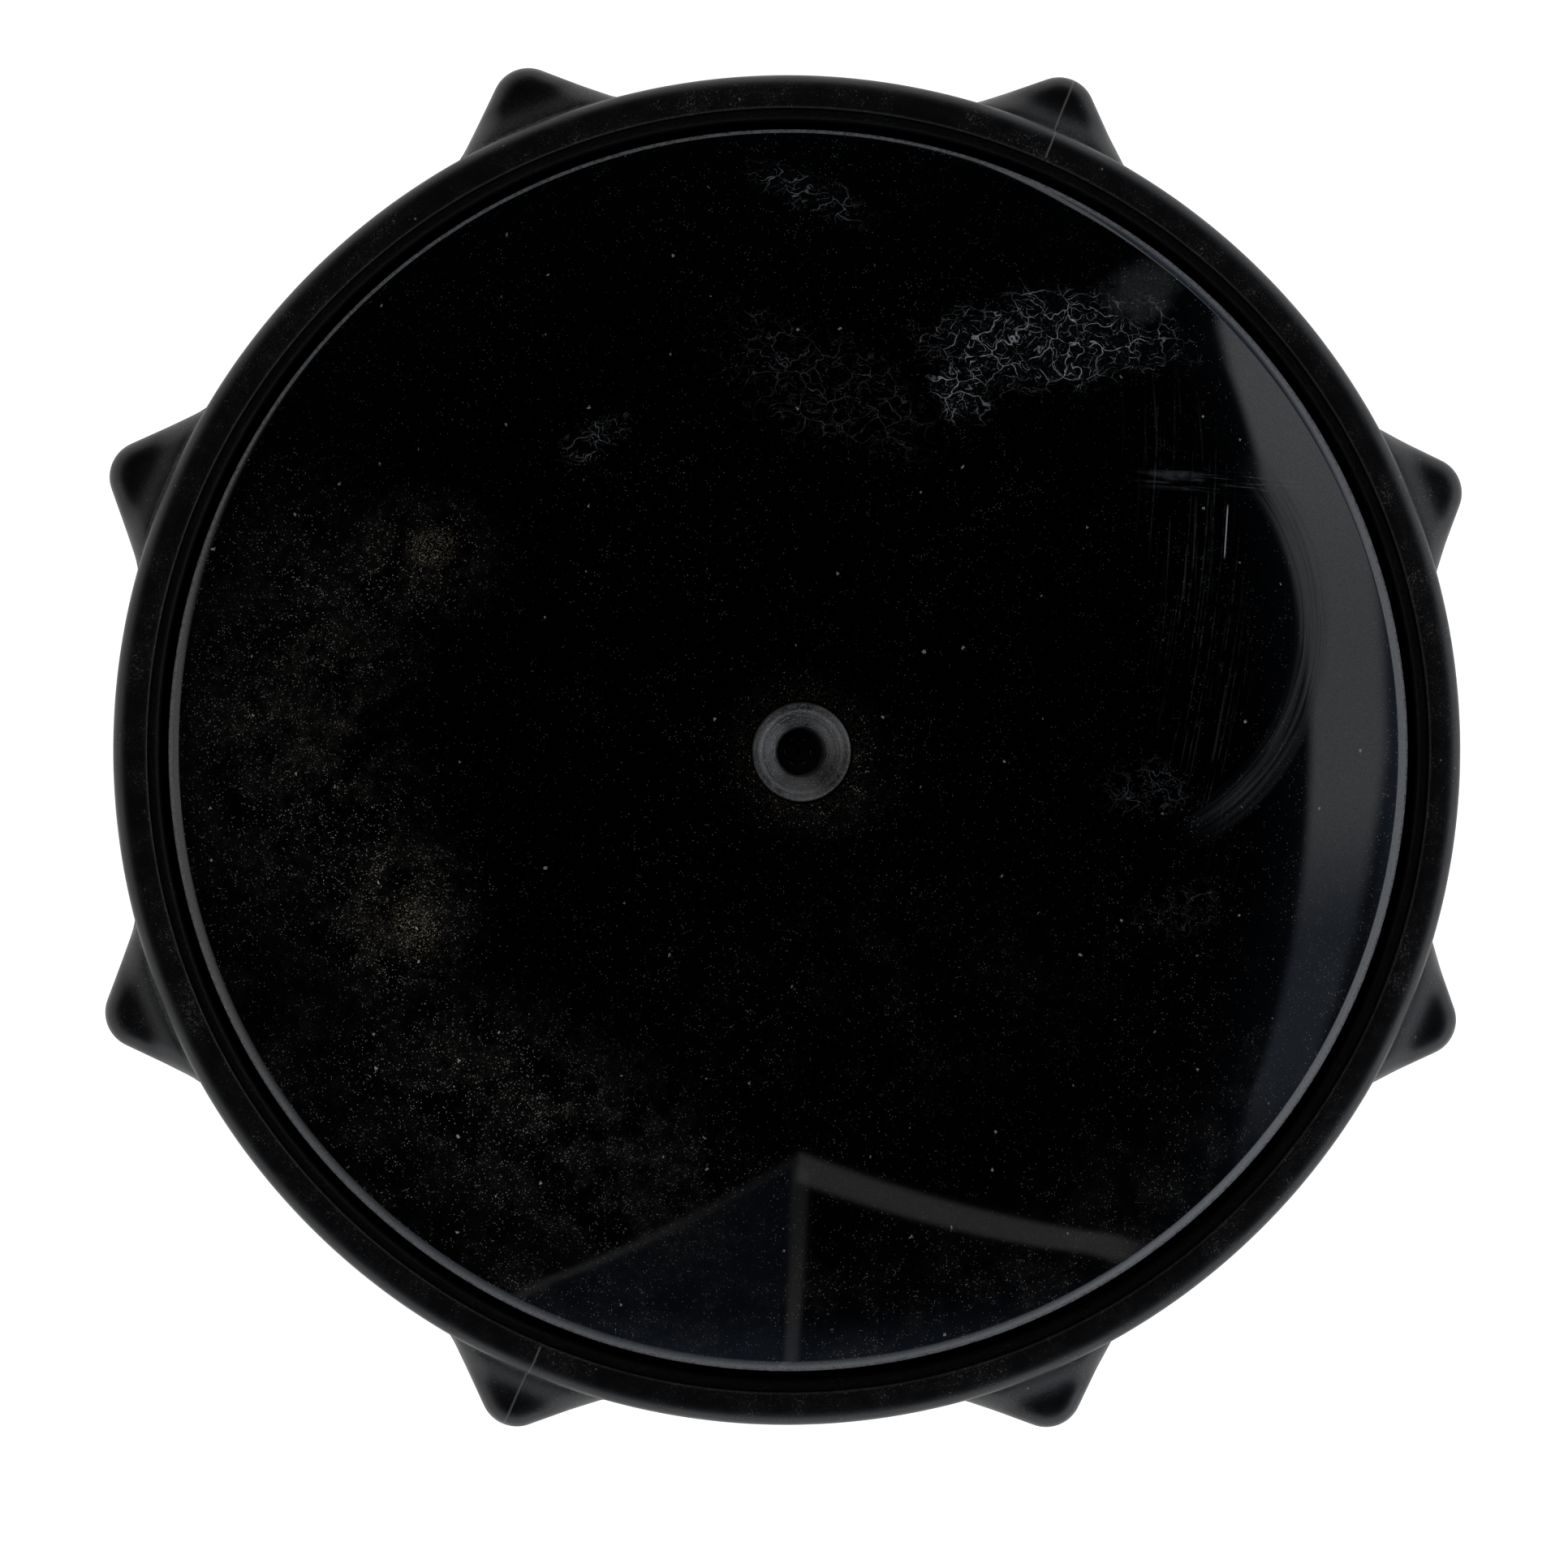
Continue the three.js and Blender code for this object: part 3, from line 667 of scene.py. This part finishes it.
def turn(outline, facets=96, matrix=None, closed=True):
    """A bmesh turned about Z from (radius, height) points in mm.

    A point may carry a third number: the width across flats of a hexagon that limits it.
    An outline that isn't closed starts and ends on the axis.
    """
    bm = bmesh.new()
    rings = []
    for point in outline:
        radius, height = point[:2]
        if radius == 0:
            rings.append([bm.verts.new((0, 0, height * MM))] * facets)
            continue
        ring = []
        for i in range(facets):
            angle = TURN * i / facets
            r = min(radius, hex_limit(point[2], angle)) if len(point) > 2 else radius
            x, y = r * math.cos(angle), r * math.sin(angle)
            ring.append(bm.verts.new((x * MM, y * MM, height * MM)))
        rings.append(ring)
    pairs = list(zip(rings, rings[1:]))
    if closed:
        pairs.append((rings[-1], rings[0]))
    for low, high in pairs:
        for i in range(facets):
            j = (i + 1) % facets
            corners = [low[i], low[j], high[j], high[i]]
            corners = [v for k, v in enumerate(corners) if v not in corners[:k]]
            if len(corners) > 2:
                bm.faces.new(corners)
    bmesh.ops.recalc_face_normals(bm, faces=bm.faces)
    if matrix is not None:
        bmesh.ops.transform(bm, matrix=matrix, verts=bm.verts)
    return bm


def raised(points, low, high, matrix, bevel):
    """A bmesh raised from an (x, y) outline in mm, with its edges rounded, then moved."""
    bm = bmesh.new()
    bottom = [bm.verts.new((x * MM, y * MM, low * MM)) for x, y in points]
    top = [bm.verts.new((x * MM, y * MM, high * MM)) for x, y in points]
    bm.faces.new(list(reversed(bottom)))
    bm.faces.new(top)
    for i in range(len(points)):
        j = (i + 1) % len(points)
        bm.faces.new([bottom[i], bottom[j], top[j], top[i]])
    bmesh.ops.recalc_face_normals(bm, faces=bm.faces)
    settings = {"offset": bevel * MM, "segments": 2, "profile": 0.5, "affect": "EDGES"}
    bmesh.ops.bevel(bm, geom=bm.edges, **settings)
    bmesh.ops.transform(bm, matrix=matrix, verts=bm.verts)
    return bm


def at(x=0.0, y=0.0, z=0.0):
    return Matrix.Translation((x * MM, y * MM, z * MM))


def on_circle(radius, angle):
    return at(radius * math.cos(angle), radius * math.sin(angle))


def cap_height(radius, depth=0.0):
    """The height of the deck's dome at a radius, or of a surface that deep under it."""
    return DECK_TOP - CAP_RADIUS + math.sqrt((CAP_RADIUS - depth) ** 2 - radius**2)


def smoothstep(value, low, high):
    t = min(1.0, max(0.0, (value - low) / (high - low)))
    return t * t * (3 - 2 * t)


# ---------------------------------------------------------------- boot


def lug_depth(x, y):
    """How far a point lies inside a lug's outline in plan; the lug points along +X."""
    apex = LUG_TIP_R - LUG_ROUND
    c, s = math.cos(LUG_HALF_ANGLE), math.sin(LUG_HALF_ANGLE)
    dx, dy = x - apex, abs(y)
    off_flank = dx * s + dy * c
    along = dy * s - dx * c
    if off_flank <= 0:
        return LUG_ROUND - off_flank
    if along < 0:
        return LUG_ROUND - math.hypot(dx, dy)
    return LUG_ROUND - off_flank


def lug_reach(angle):
    """The radius of a lug's outline in a direction, which blends into the ring's wall."""
    low, high = 140.0, LUG_TIP_R + 1
    for _ in range(40):
        middle = (low + high) / 2
        if lug_depth(middle * math.cos(angle), middle * math.sin(angle)) > 0:
            low = middle
        else:
            high = middle
    blend = 0.8
    gap = (low - BOOT_R) / blend
    return BOOT_R + blend * (math.log1p(math.exp(gap)) if gap < 30 else gap) - blend * 0.02


def boot_section(angle):
    """The boot's closed outline of (radius, height) points in one direction from the axis."""
    pitch = TURN / LUGS
    off = (angle - pitch / 2) % pitch
    if off > pitch / 2:
        off -= pitch
    reach = lug_reach(off)
    present = smoothstep(reach - BOOT_R, 0.15, 1.6)
    wall = BOOT_R - 0.05
    round_edge = 5.2

    lip_r = BOOT_LIP_R - 0.25
    points = [(BOOT_LIP_R, CHASSIS_Z + 8), (BOOT_LIP_R, 66), (lip_r, 69.5), (lip_r, 71.6)]
    points += [(lip_r + 0.12, 71.85), (lip_r + 0.5, BOOT_TOP), (159.4, BOOT_TOP)]
    lip = 4.3
    for k in range(9):
        a = math.pi / 2 * (1 - k / 8)
        points.append((wall - lip + lip * math.cos(a), BOOT_TOP - lip + lip * math.sin(a)))

    shelf = []
    for k in range(15):
        t = math.sin(math.pi / 2 * k / 14)
        r = wall + (reach - wall) * t
        depth = max(0.0, lug_depth(r * math.cos(off), r * math.sin(off)))
        drop = 0.0
        if depth < round_edge:
            drop = round_edge - math.sqrt(round_edge**2 - (round_edge - depth) ** 2)
        ramp = 3.4 * (1 - smoothstep(r, BOOT_R - 1, BOOT_R + 7.5))
        shelf.append((r, LUG_TOP + ramp - drop * 1.15))
    for k in (1, 2):
        points.append((wall, BOOT_TOP - lip + (shelf[0][1] - BOOT_TOP + lip) * k / 3))
    points += shelf

    foot = 4.0 * (1 - present)
    bottom = shelf[-1][1]
    outer = reach - 0.9
    for k in (1, 2, 3):
        points.append((reach + (outer - reach) * k / 4, bottom + (foot + 3 - bottom) * k / 4))
    for k in range(5):
        a = math.pi / 2 * k / 4
        points.append((outer - 2.4 + 2.4 * math.cos(a), foot + 2.4 - 2.4 * math.sin(a)))
    points += [(162.3, foot), (161.6, 4.0), (160.4, 4.0), (159.6, 5.0)]
    hook = CHASSIS_Z - 0.3
    points += [(159.6, hook - 5.2), (159.1, hook - 4.7), (156, hook - 4.7), (155.5, hook - 4.2)]
    points += [(155.5, hook), (159.4, hook), (159.4, CHASSIS_Z + 8)]
    return points


def boot_angles():
    """Directions round the boot, close together across each lug."""
    half = TURN / LUGS / 2
    steps = 44
    offsets = []
    for k in range(-steps, steps):
        t = k / steps
        offsets.append(half * (0.42 * t + 0.58 * t**3))
    return [half + i * TURN / LUGS + off for i in range(LUGS) for off in offsets]


def add_boot(material):
    bm = bmesh.new()
    rings = []
    for angle in boot_angles():
        c, s = math.cos(angle) * MM, math.sin(angle) * MM
        rings.append([bm.verts.new((r * c, r * s, z * MM)) for r, z in boot_section(angle)])
    for first, second in zip(rings, rings[1:] + rings[:1]):
        for k in range(len(first)):
            j = (k + 1) % len(first)
            bm.faces.new([first[k], second[k], second[j], first[j]])
    bmesh.ops.recalc_face_normals(bm, faces=bm.faces)
    boot = make_object("rubber_boot", bm, material, "housing", 50)
    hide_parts("bumper_boot")


# ---------------------------------------------------------------- deck and chassis


def add_deck(gloss):
    """The dome turns down at its rounded edge into a skirt. Ribs, pillars and a boss are below."""
    start = 149.5
    radii = [DECK_BORE_R, *range(16, 148, 6), start - 0.25, start - 0.08]
    outer = [(r, cap_height(r)) for r in radii]
    first, last = math.radians(29), math.radians(35)
    roll = (DECK_R - 0.1 - start) / (math.sin(last) - math.sin(first))
    middle = (start - roll * math.sin(first), cap_height(start) - roll * math.cos(first))
    for k in range(0, 13):
        a = first + (last - first) * k / 12
        outer.append((middle[0] + roll * math.sin(a), middle[1] + roll * math.cos(a)))
    low = outer[-1][1]
    foot = CHASSIS_Z + 4.3
    skirt = [(DECK_R, low - 0.1), (DECK_R, low - 0.4), (DECK_R, foot + 0.6), (151.5, foot)]
    skirt += [(149.1, foot), (148.5, foot + 0.6)]
    inner = [(r, cap_height(r, DECK_WALL)) for r in [148.5, *range(144, 12, -8), DECK_BORE_R]]
    shell = turn(outer + skirt + inner, 288)
    deck = make_object("deck_shell", shell, gloss, "housing", 40)
    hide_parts("deck_dome")

    under = [(33, 86), (149, 62)]
    top = [(r, cap_height(r, DECK_WALL / 2)) for r in (149, 110, 70, 33)]
    for i in range(SCREWS):
        angle = i * TURN / SCREWS
        spin = Matrix.Rotation(angle, 4, "Z")
        stand = Matrix.Rotation(math.pi / 2, 4, "X")
        rib = raised(under + top, -1.5, 1.5, spin @ stand, 0.3)
        make_object(f"deck_rib_{i + 1}", rib, gloss, "housing")
        pillar = [(0, foot), (4.7, foot), (5.2, foot + 0.5), (5.2, 76), (0, 76)]
        made = turn(pillar, 32, on_circle(SCREW_CIRCLE, angle), closed=False)
        make_object(f"deck_pillar_{i + 1}", made, gloss, "housing")

    boss = [(DECK_BORE_R, 100.2), (DECK_BORE_R, 92), (17.3, 92), (17.3, 90), (37, 90), (37, 100.2)]
    make_object("deck_boss", turn(rounded(boss, 0.5)), gloss, "housing")


def add_chassis(plastic, zinc):
    top, z = CHASSIS_TOP, CHASSIS_Z
    groove = z - GROOVE_DEPTH
    outline = [
        (157.1, top),
        (157.1, z + 7.7),
        (159.1, z + 7.7),
        (159.1, z),
        (150.7, z),
        (150.7, groove),
        (149, groove),
        (149, z),
        (141, z),
        (141, groove),
        (139.3, groove),
        (139.3, z),
        (127, z),
        (127, z + 4),
        (154.2, z + 4),
        (154.2, top - 1.6),
        (154.35, top - 0.9),
        (154.8, top - 0.3),
        (155.5, top),
    ]
    ring = turn(rounded(outline, 0.5), 240)
    made = make_object("chassis", ring, plastic, "housing")
    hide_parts("chassis_ring")

    head = z - 0.3
    strip = [
        (141.3, head),
        (141.3, groove),
        (142.3, groove),
        (142.3, head - 1.2),
        (147.7, head - 1.2),
        (147.7, groove),
        (148.7, groove),
        (148.7, head),
    ]
    made = make_object("brush_strip", turn(rounded(strip, 0.3), 240), zinc, "housing")
    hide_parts("brush_channel")


def add_bristles(material):
    """Four staggered rows of single bristles that lean and splay a little."""
    pick = random.Random(7)
    rows, count = 4, 560
    bm = bmesh.new()
    for row in range(rows):
        for i in range(count):
            angle = TURN * (i + row / rows + pick.uniform(-0.2, 0.2)) / count
            root = 143.4 + row * 1.05
            tip = min(147.9, max(142.5, root + pick.uniform(-1.4, 1.4)))
            sweep = pick.uniform(-1.6, 1.6) / 145
            length = pick.uniform(0.05, 1.0)
            rings = []
            for t in (0.0, 0.35, 0.7, 1.0):
                r = root + (tip - root) * t * t
                a = angle + sweep * t * t
                z = 40 + (length - 40) * t
                size = 0.36 if t < 1 else 0.3
                ring = []
                for k in range(3):
                    turn_k = a + TURN * k / 3
                    x = r * math.cos(a) + size * math.cos(turn_k)
                    y = r * math.sin(a) + size * math.sin(turn_k)
                    ring.append(bm.verts.new((x * MM, y * MM, z * MM)))
                rings.append(ring)
            for low, high in zip(rings, rings[1:]):
                for k in range(3):
                    j = (k + 1) % 3
                    bm.faces.new([low[k], high[k], high[j], low[j]])
            bm.faces.new(rings[0])
            bm.faces.new(list(reversed(rings[-1])))
    bmesh.ops.recalc_face_normals(bm, faces=bm.faces)
    made = make_object("bristles", bm, material, "housing", 80)
    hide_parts("bristle_ring")


# ---------------------------------------------------------------- inlet and swivel


def add_inlet(port_metal):
    top = PORT_TOP
    bore = []
    for k in range(8):
        z = 99.4 - k * 1.337
        bore += [(5.7, z), (6.2, z - 0.55), (6.2, z - 0.75), (5.7, z - 1.2)]
    outline = [
        (3, 82.4),
        (3.4, 82),
        (9.4, 82),
        (9.8, 82.4),
        (9.8, 92.3),
        (12, 92.3),
        (12, 102.7),
        (11.85, 103.35),
        (11.45, 103.75),
        (10.9, top),
        (10.35, 103.8),
        (8.95, 102.5),
        (8.8, 102.2),
        (8.5, 102.05),
        (7.2, 101.5),
        (6.9, 101.2),
        (6.45, 101.1),
        (6.2, 100.95),
        (6.05, 100.6),
        (6.0, 99.9),
        *bore,
        (5.7, 88),
        (3, 88),
    ]
    made = make_object("inlet", turn(outline, 160), port_metal, "housing", 60)
    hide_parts("inlet_port")


def add_swivel(brass, zinc):
    outline = [
        (10.1, 91.7),
        (17, 91.7),
        (17, 89.7),
        (34, 89.7),
        (34, 84),
        (22, 84),
        (20, 82),
        (20, 45),
        (18.8, 44),
        (14.2, 44),
        (14.2, 72),
        (8.2, 72),
        (8.2, 78.5),
        (3.2, 78.5),
        (3.2, 81.7),
        (10.1, 81.7),
    ]
    made = make_object("swivel", turn(rounded(outline, 0.6), 120), brass, "housing")
    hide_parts("swivel_body")
    for i in range(BOLTS):
        angle = (i + 0.5) * TURN / BOLTS
        face = 83.7
        head = [
            (0, face - 4),
            (4.6, face - 4),
            (5.8, face - 3.5, 10),
            (5.8, face - 0.5, 10),
            (5.6, face - 0.4, 10),
            (5.4, face, 10),
            (2.9, face),
            (2.9, 97),
            (0, 97),
        ]
        bolt = turn(head, 48, on_circle(BOLT_CIRCLE, angle), closed=False)
        made = make_object(f"hex_bolt_{i + 1}", bolt, zinc, "housing")
        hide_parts(f"flange_bolt_{i + 1}")


def add_deck_screws(zinc):
    head = CHASSIS_Z - 0.3
    outline = [
        (0, head - 1.2),
        (9, head - 1.2, 3),
        (9, head - 2.8, 3),
        (1.95, head - 3),
        (2.9, head - 3),
        (3.7, head - 2.7),
        (4.3, head - 2.0),
        (4.5, head - 1.2),
        (4.5, head),
        (2.2, head),
        (2.2, 60),
        (0, 61),
    ]
    for i in range(SCREWS):
        angle = i * TURN / SCREWS
        screw = turn(outline, 48, on_circle(SCREW_CIRCLE, angle), closed=False)
        made = make_object(f"socket_screw_{i + 1}", screw, zinc, "housing")
        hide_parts(f"deck_screw_{i + 1}")


# ---------------------------------------------------------------- rotor


def add_rotor(brass, steel, zinc):
    w, low, high, c = 14, 25, 43, 2
    section = [(-w, low + c), (-w + c, low), (w - c, low), (w, low + c)]
    section += [(w, high - c), (w - c, high), (-w + c, high), (-w, high - c)]
    stand = Matrix.Rotation(math.pi / 2, 4, "Z") @ Matrix.Rotation(math.pi / 2, 4, "X")
    block = raised(section, -17, 17, stand, 0.5)
    made = make_object("hub_block", block, brass, "rotor")
    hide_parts("rotor_hub")

    shaft = [(2.6, 77.8), (4.5, 77.8), (4.5, 73.4), (5.9, 73.4), (5.9, 51.3), (8.4, 51.3)]
    shaft += [(8.4, 43.3), (5.9, 43.3), (5.9, 38.3), (2.6, 38.3)]
    made = make_object("hollow_shaft", turn(rounded(shaft, 0.3), 64), steel, "rotor")
    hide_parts("rotor_shaft")

    plug = [
        (0, 23.9),
        (9, 23.9, 4.3),
        (9, 22.9, 4.3),
        (2.6, 22.5),
        (5.4, 22.5),
        (7, 23.0, 12.1),
        (7, 24.7, 12.1),
        (5, 24.7),
        (5, 30),
        (0, 30),
    ]
    made = make_object("drain_plug", turn(plug, 48, closed=False), zinc, "rotor")
    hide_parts("hub_plug")

    for side, heading in (("right", 0.0), ("left", math.pi)):
        spin = Matrix.Rotation(heading, 4, "Z")
        along = spin @ at(z=ARM_Z) @ Matrix.Rotation(math.pi / 2, 4, "Y")
        down = spin @ at(NOZZLE_X, 0, ARM_Z) @ Matrix.Rotation(NOZZLE_TILT, 4, "X")

        pipe = turn([(3, 8.3), (5, 8.3), (5, 123.7), (3, 123.7)], 40, along)
        made = make_object(f"pipe_{side}", pipe, steel, "rotor")
        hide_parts(f"spray_arm_{side}")

        nut = [
            (5.3, 17.8),
            (5.8, 17.3),
            (7.7, 17.3, 15.6),
            (9, 17.9, 15.6),
            (9, 22.2, 15.6),
            (7.7, 22.8, 15.6),
            (5.8, 22.8),
            (5.3, 22.3),
        ]
        made = make_object(f"lock_nut_{side}", turn(nut, 48, along), zinc, "rotor")
        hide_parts(f"jam_nut_{side}")

        barrel = [(0, 112), (5.4, 112), (7.9, 112), (8.5, 112.6), (8.5, 131), (7.9, 132.4)]
        barrel += [(6.9, 133), (0, 133)]
        made = turn(barrel, 56, along, closed=False)
        made = make_object(f"elbow_{side}", made, brass, "rotor")
        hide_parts(f"nozzle_block_{side}")
        boss = [(0, 0), (7.2, 0), (7.2, -10.5), (6.7, -11), (0, -11)]
        made = turn(boss, 56, down, closed=False)
        make_object(f"elbow_boss_{side}", made, brass, "rotor")

        tip = [
            (0, -6),
            (3, -6),
            (3, -11.3),
            (5.9, -11.3, 11.4),
            (6.6, -11.7, 11.4),
            (6.6, -14.9, 11.4),
            (5.9, -15.3, 11.4),
            (4.4, -15.3),
            (4.4, -17),
            (3.6, -18.0),
            (2.8, -18.3),
            (1.1, -18.3),
            (0.8, -17.2),
            (0, -16.8),
        ]
        jet = make_object(f"jet_{side}", turn(tip, 48, down, closed=False), steel, "rotor")
        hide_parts(f"spray_nozzle_{side}")


# ---------------------------------------------------------------- assembly

add_camera()
bpy.context.scene.view_settings.view_transform = "Standard"
add_world()
add_floor()
add_softbox("top_light", (-0.3, 0.5, 2.2), 1.8, 18)
add_softbox("side_light", (1.8, -0.6, 1.2), 1.4, 8)

gloss = gloss_deck()
black_rubber = rubber()
plastic = matte_plastic()
# Painted light on the port's top: the patches that lighten (east, south, west) are painted
# highlight, and those that darken (north, south-east) are painted shade, where the turned metal's
# reflection is bright or dim.
port_painted_light = [
    ((8.5, 4.5), (7, 6), 0.42),
    ((0.5, -9.5), (6, 5), 0.38),
    ((-9, 3.5), (5, 6), 0.2),
    ((-1, 8), (5, 4.5), -0.26),
    ((7.5, -6), (6, 5), -0.16),
]
port_metal = turned_metal(
    "port_metal", grey(0.002), grey(0.085), 0.4, 0.3, dust=0.3, painted_light_patches=port_painted_light
)
brass = turned_metal("brass", (0.52, 0.36, 0.14, 1), (0.72, 0.54, 0.26, 1), 0.3, 1.0, 0.05, 1.5)
steel = turned_metal("steel", grey(0.45), grey(0.62), 0.28, 1.0, 0.04, 1.5)
zinc = turned_metal("zinc_steel", grey(0.36), grey(0.52, -0.02), 0.38, 1.0, 0.08, 1.0)
seal = plain_finish("seal_rubber", grey(0.006), grey(0.014), 0.5)
# The strainer deep in the port gets a near-black finish instead of steel.
near_black_strainer = plain_finish("near_black_mesh", grey(0.001), grey(0.004), 0.7)
white = plain_finish("white_plastic", grey(0.68, 0.02), grey(0.78, 0.03), 0.4)
bristle = plain_finish("bristle", grey(0.008), grey(0.03, 0.03), 0.45, 0.3)

carried = {
    "inlet_strainer": near_black_strainer,
    "port_o_ring": seal,
    "high_pressure_seal": white,
    "upper_outer_race": steel,
    "outer_spacer": zinc,
    "lower_outer_race": steel,
    "body_circlip": steel,
    "dust_seal": seal,
    "upper_ball_cage": steel,
    "lower_ball_cage": steel,
    "shaft_circlip": steel,
    "upper_inner_race": steel,
    "inner_spacer": zinc,
    "lower_inner_race": steel,
}
for node, material in carried.items():
    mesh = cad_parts[node].data
    mesh.materials.clear()
    mesh.materials.append(material)

add_boot(black_rubber)
add_deck(gloss)
add_chassis(plastic, zinc)
add_bristles(bristle)
add_inlet(port_metal)
add_swivel(brass, zinc)
add_deck_screws(zinc)
add_rotor(brass, steel, zinc)
